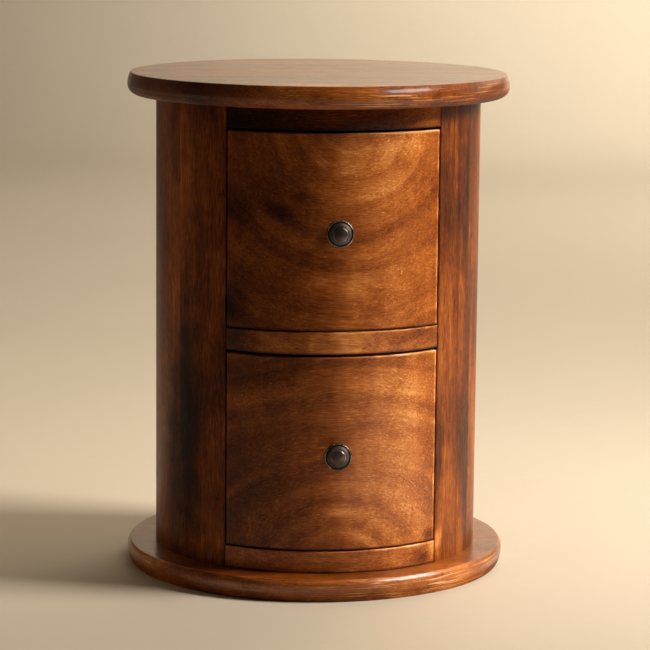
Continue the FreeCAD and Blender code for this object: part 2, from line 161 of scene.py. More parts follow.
# How much the edge of a mark wanders, and how far its softest part goes, as shares of its reach
MARK_WANDER_SHARE = 1.6
MARK_END_SHARE = 1.3

# Marks and painted light on the stiles and the stave beside each, as middle and reach along X, Y and Z in
# metres, and change. Dark stains and a rubbed patch of the wood mix with painted light low on the right and
# painted shade low on the left
STILE_MARKS_AND_PAINTED_LIGHT = {
    "front_stile_right": (
        ((0.137, -0.089, 0.375), (0.016, 0.020, 0.070), -0.20),
        ((0.112, -0.119, 0.400), (0.008, 0.012, 0.050), -0.12),
        ((0.109, -0.122, 0.130), (0.008, 0.012, 0.060), -0.18),
        ((0.143, -0.080, 0.110), (0.010, 0.016, 0.080), -0.14),
        ((0.128, -0.102, 0.070), (0.030, 0.040, 0.090), 0.16),
        ((0.1080, -0.1230, 0.042), (0.009, 0.012, 0.020), 0.26),
    ),
    "front_stile_left": (
        ((-0.138, -0.088, 0.140), (0.022, 0.032, 0.130), -0.30),
        ((-0.114, -0.117, 0.330), (0.010, 0.016, 0.140), 0.06),
        ((-0.130, -0.100, 0.420), (0.020, 0.030, 0.060), 0.05),
    ),
    "stave_01": (
        ((0.152, -0.060, 0.250), (0.060, 0.080, 0.400), 0.10),
    ),
    "stave_10": (
        ((-0.148, -0.068, 0.140), (0.014, 0.026, 0.100), -0.27),
    ),
}

# Marks and painted light on the front rails, in the same order: dark patches and a rubbed end of the wood,
# and broad painted light on the middle and the right
RAIL_MARKS_AND_PAINTED_LIGHT = {
    "bottom": (
        ((0.012, -0.162, 0.033), (0.060, 0.06, 0.030), 0.10),
        ((0.062, -0.151, 0.034), (0.035, 0.05, 0.020), 0.14),
        ((0.1020, -0.1275, 0.036), (0.006, 0.010, 0.012), 0.26),
        ((0.091, -0.1360, 0.031), (0.013, 0.020, 0.009), -0.26),
    ),
    "middle": (
        ((0.010, -0.160, 0.250), (0.095, 0.10, 0.040), 0.35),
        ((-0.094, -0.134, 0.250), (0.026, 0.05, 0.030), -0.26),
        ((0.100, -0.129, 0.250), (0.018, 0.04, 0.030), -0.16),
    ),
    "top": (
        ((0.090, -0.136, 0.467), (0.040, 0.06, 0.030), 0.12),
    ),
}

# Painted light and marks on the rims of the top and base, in the same order. The top's rim has painted light
# across its front, painted shade toward the left and a small dark spot. The base has painted light and
# highlight at the front right and on the left of its face, and painted shade at the far right
TOP_MARKS_AND_PAINTED_LIGHT = (
    ((-0.020, -0.191, 0.488), (0.120, 0.060, 0.030), 0.31),
    ((-0.130, -0.142, 0.488), (0.050, 0.050, 0.030), -0.20),
    ((-0.182, -0.062, 0.487), (0.030, 0.060, 0.030), -0.16),
    ((-0.186, -0.042, 0.487), (0.006, 0.010, 0.004), -0.40),
)
BASE_PAINTED_LIGHT = (
    ((0.092, -0.168, 0.014), (0.075, 0.070, 0.030), 0.22),
    ((0.182, -0.060, 0.012), (0.030, 0.060, 0.030), -0.10),
    ((-0.150, -0.120, 0.014), (0.060, 0.060, 0.030), 0.06),
    ((-0.176, -0.050, 0.022), (0.030, 0.080, 0.012), 0.24),
)

# Tone and seed of the staves, which change from stave to stave
STAVE_TONE = -0.11
STAVE_TONE_SWING = 0.025
STAVE_TONE_STEP = 2.4
STAVE_TONE_START = 0.6
STAVE_SEED_START = 2.0
STAVE_SEED_STEP = 0.73

# Lacquer of the staves; the right stile has its own
STAVE_LACQUER = dict(specular=0.12, streaks=0.36)
RIGHT_STILE_LACQUER = dict(coat=0.06, rough=0.42, specular=0.20, streaks=0.60)

# Stain, lacquer and painted light lean of each front rail, and how far under it and before the chest's axis
# its rings spring. The top rail's low tone and steep lean are painted shade under the top's overhang, lighter
# to the right
RAIL_SPRING_DROP = 0.08
RAIL_SPRING_BEFORE = 0.10
RAIL_LOOKS = {
    "bottom": dict(seed=7.0, tone=0.12, painted_light_lean=0.2, coat=0.12, specular=0.24),
    "middle": dict(seed=8.9, tone=0.03, painted_light_lean=1.0, coat=0.12, specular=0.24),
    "top": dict(seed=10.8, tone=-0.13, painted_light_lean=3.0, coat=0.02, specular=0.10),
}

# Where the rings of a drawer front spring: right of its middle and over its upper edge, in metres
FRONT_SPRING = {"upper": (0.013, 0.009), "lower": (0.006, -0.2055)}

# A stretch under 1 makes the rings of a drawer front wider than high
FRONT_STRETCH = {"upper": 1.0, "lower": 0.8}

# Stain, lacquer, painted light lean, arches, and marks and painted light of each drawer front. The marks mix
# dark blotches of the wood with broad painted light on the right and painted shade on the left
FRONT_LOOKS = {
    "upper": dict(
        seed=3.1, tone=0.05, coat=0.03, specular=0.16, painted_light_lean=0.55, hub_rise=0.10,
        arches=(
            (0.046, 0.012, 0.06),
            (0.069, 0.014, 0.14),
            (0.086, 0.007, -0.05),
            (0.110, 0.015, -0.17),
            (0.139, 0.010, -0.09),
            (0.159, 0.016, 0.10),
            (0.185, 0.010, -0.06),
            (0.198, 0.008, 0.06),
            (0.214, 0.012, -0.14),
        ),
        marks_and_painted_light=(
            ((-0.056, -0.153, 0.379), (0.018, 0.05, 0.010), -0.19),
            ((-0.036, -0.159, 0.392), (0.010, 0.05, 0.008), -0.20),
            ((-0.098, -0.130, 0.380), (0.020, 0.05, 0.030), -0.16),
            ((-0.100, -0.128, 0.285), (0.016, 0.05, 0.020), -0.28),
            ((-0.085, -0.140, 0.330), (0.040, 0.06, 0.100), -0.08),
            ((0.030, -0.160, 0.435), (0.070, 0.08, 0.026), 0.10),
            ((0.050, -0.154, 0.360), (0.080, 0.12, 0.150), 0.18),
            ((-0.040, -0.158, 0.290), (0.050, 0.08, 0.040), 0.05),
            ((0.104, -0.126, 0.360), (0.016, 0.05, 0.120), -0.10),
            ((0.078, -0.144, 0.350), (0.030, 0.05, 0.040), -0.14),
            ((0.082, -0.141, 0.288), (0.024, 0.05, 0.030), -0.08),
            ((0.032, -0.160, 0.310), (0.035, 0.06, 0.035), 0.08),
        ),
    ),
    "lower": dict(
        seed=8.6, tone=0.09, coat=0.10, specular=0.20, painted_light_lean=0.85, hub_rise=-0.10,
        arches=(
            (0.031, 0.007, 0.32),
            (0.040, 0.006, -0.10),
            (0.049, 0.007, 0.18),
            (0.060, 0.007, -0.06),
            (0.075, 0.012, 0.13),
            (0.096, 0.010, -0.09),
            (0.108, 0.008, 0.05),
            (0.120, 0.009, -0.04),
            (0.137, 0.013, -0.14),
            (0.155, 0.012, 0.09),
            (0.167, 0.008, -0.09),
            (0.178, 0.009, 0.07),
            (0.207, 0.018, -0.10),
        ),
        marks_and_painted_light=(
            ((0.099, -0.130, 0.053), (0.007, 0.04, 0.009), -0.32),
            ((0.058, -0.153, 0.140), (0.095, 0.12, 0.150), 0.16),
            ((0.060, -0.152, 0.215), (0.060, 0.08, 0.022), 0.08),
            ((0.014, -0.163, 0.058), (0.050, 0.08, 0.022), 0.04),
            ((0.102, -0.128, 0.140), (0.022, 0.05, 0.120), -0.20),
            ((-0.100, -0.129, 0.085), (0.055, 0.08, 0.130), -0.15),
        ),
    ),
}

# Floor, which sweeps up behind the chest in so many steps, with sizes in metres
FLOOR_HALF = 12.0
SWEEP_START = 3.9
SWEEP_RADIUS = 1.2
SWEEP_TOP = 1.6
SWEEP_STEPS = 12

# Lamps around the chest, with angles in degrees, lengths in metres and power in watts
LAMPS = {
    "key": dict(
        azimuth=76, elevation=34, distance=2.7, size=(0.8, 0.8), power=24, colour=(1.0, 0.88, 0.73),
        aim=(0.2, 0.2, 0.02), spread=70, glossy=False,
    ),
    "glint": dict(
        azimuth=58, elevation=30, distance=2.5, size=(1.3, 0.9), power=76, colour=(1.0, 0.93, 0.86),
        diffuse=False,
    ),
    "rim_glint": dict(
        azimuth=50, elevation=30, distance=2.5, size=(1.1, 0.4), power=13, colour=(1.0, 0.93, 0.86),
        diffuse=False,
    ),
    "wash": dict(
        azimuth=149, elevation=23, distance=4.2, size=(2.0, 1.0), power=38, colour=(1.0, 0.88, 0.72),
        aim=(1.9, 5.1, 1.15), spread=120, glossy=False,
    ),
    "fill": dict(
        azimuth=142, elevation=30, distance=3.9, size=(3.0, 1.6), power=100, colour=(1.0, 0.87, 0.70),
        aim=(1.85, 3.1, 0.0), glossy=False,
    ),
    "bounce": dict(
        azimuth=-120, elevation=10, distance=2.3, size=(1.4, 0.6), power=2.0, colour=(1.0, 0.72, 0.42),
        aim=(0.0, 0.0, 0.2), spread=70, glossy=False,
    ),
    "sheen": dict(
        azimuth=42, elevation=-19.4, distance=0.72, size=(0.6, 0.6), power=2.5, colour=(1.0, 0.94, 0.86),
        aim=(0.455, -0.505, 1.0), diffuse=False,
    ),
}
SKY_COLOUR = (1.0, 0.78, 0.54, 1)
SKY_LEAST = 0.030


class Shader:
    """Builds one material. A value given to a call is a number, a tuple or another node's output."""

    def __init__(self, name):
        self.material = bpy.data.materials.new(name)
        self.material.use_nodes = True
        self.tree = self.material.node_tree
        self.tree.nodes.clear()

    def put(self, socket, value):
        if isinstance(value, bpy.types.NodeSocket):
            self.tree.links.new(value, socket)
        elif value is not None:
            socket.default_value = value

    def node(self, kind, **settings):
        made = self.tree.nodes.new(kind)
        for key, value in settings.items():
            setattr(made, key, value)
        return made

    def fill(self, made, **values):
        for key, value in values.items():
            self.put(made.inputs[key.replace("_", " ")], value)
        return made

    def math(self, operation, *values):
        made = self.node("ShaderNodeMath", operation=operation)
        for socket, value in zip(made.inputs, values):
            self.put(socket, value)
        return made.outputs[0]

    def add(self, *values):
        total = values[0]
        for value in values[1:]:
            total = self.math("ADD", total, value)
        return total

    def times(self, *values):
        total = values[0]
        for value in values[1:]:
            total = self.math("MULTIPLY", total, value)
        return total

    def vector(self, operation, first, second=None):
        made = self.node("ShaderNodeVectorMath", operation=operation)
        self.put(made.inputs[0], first)
        self.put(made.inputs[1], second)
        return made.outputs["Value" if operation == "LENGTH" else "Vector"]

    def split(self, vector):
        return self.fill(self.node("ShaderNodeSeparateXYZ"), Vector=vector).outputs

    def join(self, x, y, z):
        return self.fill(self.node("ShaderNodeCombineXYZ"), X=x, Y=y, Z=z).outputs[0]

    def place(self):
        return self.node("ShaderNodeTexCoord").outputs["Object"]

    def shift(self, place, seed, parts):
        """A place moved by a seed, so that each piece has a figure of its own."""
        return self.vector("ADD", place, tuple(seed * part for part in parts))

    def along_grain(self, place, grain):
        """The same place with the axis of the grain first. Flat boards keep their axes."""
        x, y, z = self.split(place)
        order = {"X": (x, z, y), "Y": (y, z, x), "Z": (z, x, y), "FLAT": (x, y, z)}
        return self.join(*order[grain])

    def noise(self, vector, stretch, detail=2.0, roughness=0.5, distortion=0.0):
        """Noise over a place, with so many features to a metre along each axis."""
        made = self.node("ShaderNodeTexNoise")
        self.fill(made, Vector=self.vector("MULTIPLY", vector, stretch), Scale=1.0, Detail=detail)
        self.fill(made, Roughness=roughness, Distortion=distortion)
        return made.outputs[0]

    def noise_along(self, value, scale, detail=2.0, roughness=0.5):
        """Noise along one measure, which gives bands of uneven width."""
        made = self.node("ShaderNodeTexNoise", noise_dimensions="1D")
        self.fill(made, W=value, Scale=scale, Detail=detail, Roughness=roughness)
        return made.outputs[0]

    def spread(self, value, low, high, start=0.0, end=1.0):
        """Smooth step of a value between two limits."""
        made = self.node("ShaderNodeMapRange", interpolation_type="SMOOTHSTEP")
        for socket, number in zip(made.inputs, (value, low, high, start, end)):
            self.put(socket, number)
        return made.outputs[0]

    def between(self, value, rise, fall):
        """1 where a value has passed one pair of limits and not yet the other, 0 outside both."""
        return self.times(self.spread(value, *rise), self.spread(value, *fall))

    def near(self, value, edge, width):
        """1 where a value is at an edge, falling to 0 at a width from it."""
        apart = self.math("ABSOLUTE", self.math("SUBTRACT", value, edge))
        return self.spread(apart, width, 0.0)

    def swing(self, value, amount):
        """A noise turned into a change about zero."""
        return self.times(self.math("SUBTRACT", value, 0.5), amount)

    def ramp(self, value, stops):
        made = self.fill(self.node("ShaderNodeValToRGB"), Fac=value)
        elements = made.color_ramp.elements
        while len(elements) < len(stops):
            elements.new(0.5)
        for element, (position, colour) in zip(elements, stops):
            element.position = position
            element.color = (*colour, 1)
        return made.outputs["Color"]

    def blend(self, amount, first, second):
        """A colour passing into a fixed one."""
        made = self.node("ShaderNodeMix", data_type="RGBA", blend_type="MIX")
        self.put(made.inputs[0], amount)
        self.put(made.inputs[6], first)
        self.put(made.inputs[7], (*second, 1))
        return made.outputs[2]

    def bump(self, height, distance, strength=1.0, normal=None):
        made = self.node("ShaderNodeBump")
        self.fill(made, Height=height, Distance=distance, Strength=strength, Normal=normal)
        return made.outputs[0]

    def marks_and_painted_light(self, place, marks_and_painted_light):
        """Soft patches from one of the tables of marks and painted light: stains of the wood, painted light
        and painted shade.
        """
        wander = self.noise(place, stretch=(38, 38, 38), detail=2.0)
        masks = []
        for middle, reach, change in marks_and_painted_light:
            apart = self.vector("SUBTRACT", place, middle)
            apart = self.vector("DIVIDE", apart, reach)
            distance = self.add(self.vector("LENGTH", apart), self.swing(wander, MARK_WANDER_SHARE))
            masks.append(self.spread(distance, MARK_END_SHARE, 0.0, start=0.0, end=change))
        return self.add(*masks)

    def finish(self, colour, roughness, normal, **constants):
        """Principled surface. Values that are the same all over go straight on its sockets."""
        surface = self.node("ShaderNodeBsdfPrincipled")
        self.put(surface.inputs["Base Color"], colour)
        self.put(surface.inputs["Roughness"], roughness)
        self.put(surface.inputs["Normal"], normal)
        self.fill(surface, **constants)
        output = self.node("ShaderNodeOutputMaterial")
        self.tree.links.new(surface.outputs[0], output.inputs[0])
        return self.material


def arched_grain(s, local, hub, wander):
    """Places along and across grain that bends around a hub."""
    along, above, deep = s.split(s.vector("SUBTRACT", local, hub))
    around = s.math("ARCTAN2", along, s.math("ABSOLUTE", above))
    away = s.vector("LENGTH", s.join(along, above, 0.0))
    return s.join(s.times(around, ARCH_GRAIN), s.add(away, *wander), deep)


def lacquered_wood(
    name, grain, seed, turn=0.0, tone=0.0, centre=(0.0, 0.09, 0.12), ring_scale=(0.02, 1.0, 1.0),
    bands=0.45, bands_per_metre=24.0, lines=0.22, streaks=0.30, blotches=0.7, mottle=0.12,
    fine=1.0, flecks=0.15, arches=(), hub_rise=0.0, painted_light_lean=0.0, marks_and_painted_light=(), wear_and_painted_light=None,
    coat=0.04, gloss=0.14, coat_ior=1.5, rough=0.38, specular=0.24, dull=None,
):
    """Solid wood under stain and lacquer. The grain runs along one axis, after a turn about the chest's own.

    Bands, lines, streaks, blotches, mottle, fine and flecks are strengths in the figure. An arch is a radius
    about the centre, a width and a change. The painted light lean is painted light and shade: the change of
    shade to a metre along X, lighter to the right. Marks and painted light add stains of the wood and patches
    of painted light and shade. Wear and painted light adds what is rubbed, and on fronts and rails a painted
    highlight on the upper arris and painted shade in the gap under the lower arris. Dull is the pair of
    heights between which the lacquer passes from dull to full.
    """
    s = Shader(name)
    place = s.place()
    turned = place
    if turn:
        spin = s.node("ShaderNodeVectorRotate", rotation_type="Z_AXIS")
        s.fill(spin, Vector=place, Angle=-turn)
        turned = spin.outputs[0]
    x, y, z = s.split(turned)
    local = s.along_grain(turned, grain)
    shifted = s.shift(local, seed, STAIN_SHIFT)

    drift = s.swing(s.noise(shifted, **STAIN["drift"]), ARCH_DRIFT if arches else RING_DRIFT)
    ripple = s.swing(s.noise(shifted, **STAIN["ripple"]), RING_RIPPLE)
    ring = s.vector("LENGTH", s.vector("MULTIPLY", s.vector("SUBTRACT", local, centre), ring_scale))
    ring = s.add(ring, drift, ripple)
    band = s.noise_along(s.add(ring, seed), bands_per_metre, detail=2.0)
    line = s.noise_along(s.add(ring, seed), LINES_PER_METRE, detail=2.0, roughness=0.6)
    grained = shifted
    if arches:
        hub = (centre[0], centre[1] + hub_rise, 0.0)
        grained = arched_grain(s, local, hub, (drift, ripple, seed))
    streak = s.noise(shifted, **STAIN["streak"])
    fibre = s.noise(grained, **STAIN["fibre"])
    silk = s.noise(shifted, **STAIN["silk"])
    blotch = s.noise(shifted, **STAIN["blotch"])
    pore = s.spread(s.noise(grained, **STAIN["pore"]), **PORES)
    fleck = s.spread(s.noise(s.vector("ADD", grained, FLECK_SHIFT), **STAIN["fleck"]), **PORES)

    fade = s.spread(s.noise(shifted, **STAIN["fade"]), low=0.35, high=0.62, start=0.30, end=1.0)
    figure = s.add(s.swing(band, bands), s.swing(line, lines))
    for radius, width, change in arches:
        figure = s.add(figure, s.times(s.near(ring, radius, width), change))
    shade = s.add(
        MIDDLE_SHADE + tone,
        s.times(fade, figure),
        s.swing(streak, streaks),
        s.swing(fibre, STAIN_SHADE["fibre"] * fine),
        s.swing(silk, mottle),
        s.swing(blotch, blotches),
        s.times(pore, STAIN_SHADE["pore"] * fine),
        s.times(fleck, flecks),
    )
    # Painted light and shade: lighter to the right, darker to the left
    if painted_light_lean:
        shade = s.add(shade, s.times(x, painted_light_lean))
    # Stains of the wood, with patches of painted light and shade
    if marks_and_painted_light:
        shade = s.add(shade, s.marks_and_painted_light(place, marks_and_painted_light))
    # Rubbed wear; on fronts and rails also a painted highlight on the upper arris and painted shade in the
    # gap under the lower arris
    if wear_and_painted_light:
        rubbed = wear_and_painted_light(s, place, shifted)
        pale_wear_and_highlight_mask = s.spread(rubbed, low=0.38, high=0.62, start=0.0, end=0.85)
        colour = s.blend(pale_wear_and_highlight_mask, s.ramp(s.add(shade, rubbed), CHESTNUT), PALE_WEAR_AND_HIGHLIGHT)
    else:
        colour = s.ramp(shade, CHESTNUT)

    roughness = s.add(
        rough,
        s.swing(blotch, STAIN_ROUGHNESS["blotch"]),
        s.swing(streak, STAIN_ROUGHNESS["streak"]),
        s.times(pore, STAIN_ROUGHNESS["pore"]),
    )
    if dull:
        roughness = s.add(roughness, s.spread(z, *dull, start=DULL_ROUGHNESS, end=0.0))
        coat = s.spread(z, *dull, start=DULL_COAT, end=coat)
    relief = s.add(
        s.swing(fibre, STAIN_RELIEF["fibre"]),
        s.swing(line, STAIN_RELIEF["line"]),
        s.times(pore, STAIN_RELIEF["pore"]),
    )
    normal = s.bump(s.noise(shifted, **STAIN["wave"]), WAVE_DEPTH, strength=0.35)
    normal = s.bump(relief, STAIN_DEPTH, strength=0.45, normal=normal)
    return s.finish(
        colour, roughness, normal,
        Coat_Weight=coat, Coat_Roughness=gloss, Coat_IOR=coat_ior, Specular_IOR_Level=specular,
    )


def plain_wood(name, grain, seed, colours, rough=PLANED_ROUGHNESS):
    """Unstained wood of the inner pieces."""
    s = Shader(name)
    local = s.shift(s.along_grain(s.place(), grain), seed, PLAIN_SHIFT)
    drift = s.noise(local, **PLAIN["drift"])
    ring = s.vector("LENGTH", s.vector("MULTIPLY", local, PLAIN_RING_SCALE))
    ring = s.add(ring, s.swing(drift, PLAIN_RING_DRIFT))
    line = s.noise_along(ring, PLAIN_LINES_PER_METRE, detail=2.5, roughness=0.6)
    fibre = s.noise(local, **PLAIN["fibre"])
    blotch = s.noise(local, **PLAIN["blotch"])
    pore = s.spread(s.noise(local, **PLAIN["pore"]), **PLAIN_PORES)
    shade = s.add(
        MIDDLE_SHADE,
        s.swing(line, PLAIN_SHADE["line"]),
        s.swing(fibre, PLAIN_SHADE["fibre"]),
        s.swing(blotch, PLAIN_SHADE["blotch"]),
        s.times(pore, PLAIN_SHADE["pore"]),
    )
    roughness = s.add(rough, s.swing(fibre, PLAIN_ROUGHNESS["fibre"]))
    relief = s.add(
        s.swing(fibre, PLAIN_RELIEF["fibre"]),
        s.times(pore, PLAIN_RELIEF["pore"]),
        s.swing(line, PLAIN_RELIEF["line"]),
    )
    return s.finish(s.ramp(shade, colours), roughness, s.bump(relief, PLAIN_DEPTH, strength=0.4))


def dark_metal(name, height):
    """Antiqued metal of a knob at a height: rubbed bright on its rim and crown, dark in its sunk ring."""
    s = Shader(name)
    place = s.place()
    x, y, z = s.split(place)
    radius = s.vector("LENGTH", s.join(x, 0.0, s.math("SUBTRACT", z, height)))
    cloud = s.noise(place, stretch=(160, 160, 160), detail=3.0, roughness=0.6)
    grit = s.noise(place, stretch=(1400, 1400, 1400), detail=2.0, roughness=0.6)
    crown = s.between(radius, KNOB_CROWN_START, KNOB_CROWN_END)
    shoulder = s.between(radius, KNOB_SHOULDER_START, KNOB_SHOULDER_END)
    ring = s.between(radius, KNOB_RING_START, KNOB_RING_END)
    rim = s.spread(radius, *KNOB_RIM_START)
    shade = s.add(
        KNOB_SHADE["plain"],
        s.swing(cloud, KNOB_SHADE["cloud"]),
        s.swing(grit, KNOB_SHADE["grit"]),
        s.times(ring, KNOB_SHADE["ring"]),
        s.times(rim, KNOB_SHADE["rim"]),
        s.times(crown, KNOB_SHADE["crown"]),
    )
    roughness = s.add(
        KNOB_ROUGHNESS["plain"],
        s.swing(cloud, KNOB_ROUGHNESS["cloud"]),
        s.times(ring, KNOB_ROUGHNESS["ring"]),
        s.times(shoulder, KNOB_ROUGHNESS["shoulder"]),
        s.times(rim, KNOB_ROUGHNESS["rim"]),
        s.times(crown, KNOB_ROUGHNESS["crown"]),
    )
    normal = s.bump(s.spread(radius, *KNOB_RIM_FALL), KNOB_RIM_DEPTH)
    normal = s.bump(cloud, distance=0.0006, strength=0.25, normal=normal)
    normal = s.bump(grit, distance=0.00008, strength=0.4, normal=normal)
    return s.finish(s.ramp(shade, KNOB_METAL), roughness, normal, Metallic=0.85)


def plated_steel(name):
    """Clouded, scuffed plating of the screws, pins and washers."""
    s = Shader(name)
    place = s.place()
    cloud = s.noise(place, stretch=(300, 300, 300), detail=3.0, roughness=0.6)
    scuff = s.noise(place, stretch=(2200, 2200, 300), detail=2.0, roughness=0.6)
    shade = s.add(MIDDLE_SHADE, s.swing(cloud, STEEL_SHADE["cloud"]))
    roughness = s.add(
        STEEL_ROUGHNESS["plain"],
        s.swing(cloud, STEEL_ROUGHNESS["cloud"]),
        s.swing(scuff, STEEL_ROUGHNESS["scuff"]),
    )
    normal = s.bump(scuff, distance=0.0001, strength=0.3)
    return s.finish(s.ramp(shade, STEEL), roughness, normal, Metallic=1.0)


def pale_floor(name):
    """Plain pale floor, faintly clouded."""
    s = Shader(name)
    place = s.place()
    cloud = s.noise(place, stretch=(2.2, 2.2, 2.2), detail=4.0, roughness=0.6)
    grit = s.noise(place, stretch=(60, 60, 60), detail=3.0, roughness=0.6)
    shade = s.add(
        MIDDLE_SHADE,
        s.swing(cloud, FLOOR_SHADE["cloud"]),
        s.swing(grit, FLOOR_SHADE["grit"]),
    )
    roughness = s.add(FLOOR_ROUGHNESS["plain"], s.swing(cloud, FLOOR_ROUGHNESS["cloud"]))
    normal = s.bump(grit, distance=0.001, strength=0.1)
    return s.finish(s.ramp(shade, FLOOR_PALE), roughness, normal)


def front_wear_and_painted_light(low, high, ends=False):
    """Upper arris and free ends of a front or a rail, rubbed paler more to the right, which is wear and a
    painted highlight, and painted shade in the gap under the lower arris.
    """
    def wear_and_painted_light(s, place, shifted):
        x, y, z = s.split(place)
        edge = s.near(z, high, UPPER_ARRIS)
        if ends:
            upright = s.near(s.math("ABSOLUTE", x), FRONT_HALF, END_ARRIS)
            edge = s.math("MAXIMUM", edge, s.times(upright, END_SHARE))
        streaky = s.noise(shifted, stretch=(26, 90, 90), detail=2.0)
        patchy = s.spread(streaky, low=0.40, high=0.62, start=0.35, end=1.0)
        # The painted highlight grows toward the lit right
        growing = s.spread(x, low=-0.02, high=0.08, start=0.04, end=0.64)
        # Painted shade in the gap under the lower arris
        gap_shade = s.times(s.near(z, low, LOWER_ARRIS), PAINTED_GAP_SHADE)
        return s.add(s.times(edge, patchy, growing), gap_shade)
    return wear_and_painted_light


def rubbed_rim(radius, lift):
    """Golden streaks where the rim of the top or base is rubbed, and a lift of the rim over the face."""
    def wear_and_painted_light(s, place, shifted):
        x, y, z = s.split(place)
        out = s.vector("LENGTH", s.join(x, y, 0.0))
        rim = s.spread(out, radius - RIM_START, radius - RIM_FULL)
        rolled = s.join(s.math("ARCTAN2", y, x), z, out)
        streak = s.noise(rolled, stretch=(2.6, 750, 250), detail=2.0, roughness=0.6)
        zone = s.noise(shifted, stretch=(13, 13, 13), detail=1.0)
        zone = s.spread(zone, low=0.38, high=0.60, start=0.25, end=1.0)
        growing = s.spread(x, low=-0.08, high=0.04, start=0.16, end=0.48)
        waning = s.spread(x, low=0.12, high=0.18, start=1.0, end=0.5)
        streaks = s.times(zone, s.spread(streak, low=0.57, high=0.62), growing, waning)
        return s.times(rim, s.add(lift, streaks))
    return wear_and_painted_light


def assign(node, material):
    """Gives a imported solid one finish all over."""
    target = nodes[node]
    target.data.materials.clear()
    target.data.materials.append(material)


def dress_carcass():
    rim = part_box("round_top")[1].x
    assign("round_top", lacquered_wood(
        "round_top_wood", "FLAT", seed=1.3, tone=-0.08, centre=(0.0, 0.05, 0.30),
        streaks=0.25, bands=0.25, fine=0.9, flecks=0.08, marks_and_painted_light=TOP_MARKS_AND_PAINTED_LIGHT, wear_and_painted_light=rubbed_rim(rim, 0.0),
        coat=0.62, coat_ior=1.65, rough=0.32, specular=0.34, dull=TOP_DULL,
    ))
    assign("round_base", lacquered_wood(
        "round_base_wood", "FLAT", seed=4.1, tone=-0.01, centre=(0.0, -0.06, -0.26),
        streaks=0.25, bands=0.30, fine=0.8, flecks=0.06, marks_and_painted_light=BASE_PAINTED_LIGHT, wear_and_painted_light=rubbed_rim(rim, 0.06),
        coat=0.90, gloss=0.22, rough=0.38, specular=0.22, dull=BASE_DULL,
    ))
    for number in range(STAVE_COUNT):
        node = f"stave_{number:02d}"
        lacquer = STAVE_LACQUER
        if number == 0:
            node = "front_stile_right"
            lacquer = RIGHT_STILE_LACQUER
        elif number == STAVE_COUNT - 1:
            node = "front_stile_left"
        angle = JAMB_ANGLE + (number + 0.5) * STAVE_ANGLE
        uneven = math.sin(number * STAVE_TONE_STEP + STAVE_TONE_START)
        assign(node, lacquered_wood(
            node + "_wood", "Z", seed=STAVE_SEED_START + number * STAVE_SEED_STEP,
            turn=angle - math.pi / 2, tone=STAVE_TONE + STAVE_TONE_SWING * uneven,
            centre=(0.2, 0.05, 0.05), ring_scale=(0.03, 1.0, 1.0), lines=0.20, blotches=0.8, mottle=0.20,
            flecks=0.10, marks_and_painted_light=STILE_MARKS_AND_PAINTED_LIGHT.get(node, ()), **lacquer,
        ))
    for name, look in RAIL_LOOKS.items():
        node = f"{name}_front_rail"
        low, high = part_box(node)
        assign(node, lacquered_wood(
            node + "_wood", "X", centre=(0.0, low.z - RAIL_SPRING_DROP, -RAIL_SPRING_BEFORE), rough=0.34,
            marks_and_painted_light=RAIL_MARKS_AND_PAINTED_LIGHT[name], wear_and_painted_light=front_wear_and_painted_light(low.z, high.z), **look,
        ))


def dress_drawers():
    for name, look in FRONT_LOOKS.items():
        node = f"{name}_drawer_front"
        low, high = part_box(node)
        across, above = FRONT_SPRING[name]
        assign(node, lacquered_wood(
            node + "_wood", "X", centre=(across, high.z + above, 0.0),
            ring_scale=(FRONT_STRETCH[name], 1.0, 0.0), bands=0.26, bands_per_metre=33.0, lines=0.22,
            streaks=0.22, blotches=0.40, mottle=0.20, rough=0.34,
            wear_and_painted_light=front_wear_and_painted_light(low.z, high.z, ends=True), **look,
        ))
        for side, seed in (("left", 1.0), ("right", 2.2)):
            wood = plain_wood(f"{name}_side_{side}_wood", "Y", seed=seed, colours=BOX_WOOD)
            assign(f"{name}_drawer_side_{side}", wood)
        wood = plain_wood(f"{name}_back_wood", "X", seed=3.7, colours=BOX_WOOD)
        assign(f"{name}_drawer_back", wood)
        wood = plain_wood(f"{name}_bottom_wood", "FLAT", seed=5.2, colours=BOTTOM_WOOD)
        assign(f"{name}_drawer_bottom", wood)
        knob_low, knob_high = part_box(f"{name}_knob")
        assign(f"{name}_knob", dark_metal(f"{name}_knob_metal", (knob_low.z + knob_high.z) / 2))


def dress_inside():
    steel = plated_steel("plated_steel")
    sawn = dict(colours=FRAME_WOOD, rough=SAWN_ROUGHNESS)
    along = plain_wood("runner_wood", "Y", seed=6.1, **sawn)
    across = plain_wood("back_rail_wood", "X", seed=7.7, **sawn)
    for node in nodes:
        if node.endswith(("_screws", "_screw", "_pins", "_washer")):
            assign(node, steel)
        elif "runner" in node or "kicker" in node or "guide" in node:
            assign(node, along)
        elif node.endswith(("back_rail", "stops", "dowels")):
            assign(node, across)


def make_floor():
    """Floor that sweeps up far behind the chest."""
    profile = [(-FLOOR_HALF, 0.0), (SWEEP_START, 0.0)]
    for step in range(1, SWEEP_STEPS + 1):
        angle = step / SWEEP_STEPS * math.pi / 2
        back = SWEEP_START + SWEEP_RADIUS * math.sin(angle)
        profile.append((back, SWEEP_RADIUS * (1 - math.cos(angle))))
    profile.append((SWEEP_START + SWEEP_RADIUS, SWEEP_TOP))
    mesh = bpy.data.meshes.new("floor")
    shape = bmesh.new()
    left = [shape.verts.new((-FLOOR_HALF, y, z)) for y, z in profile]
    right = [shape.verts.new((FLOOR_HALF, y, z)) for y, z in profile]
    for k in range(len(profile) - 1):
        face = shape.faces.new((left[k], right[k], right[k + 1], left[k + 1]))
        face.smooth = True
    shape.to_mesh(mesh)
    shape.free()
    floor = bpy.data.objects.new("floor", mesh)
    bpy.context.scene.collection.objects.link(floor)
    floor.data.materials.append(pale_floor("pale_floor"))


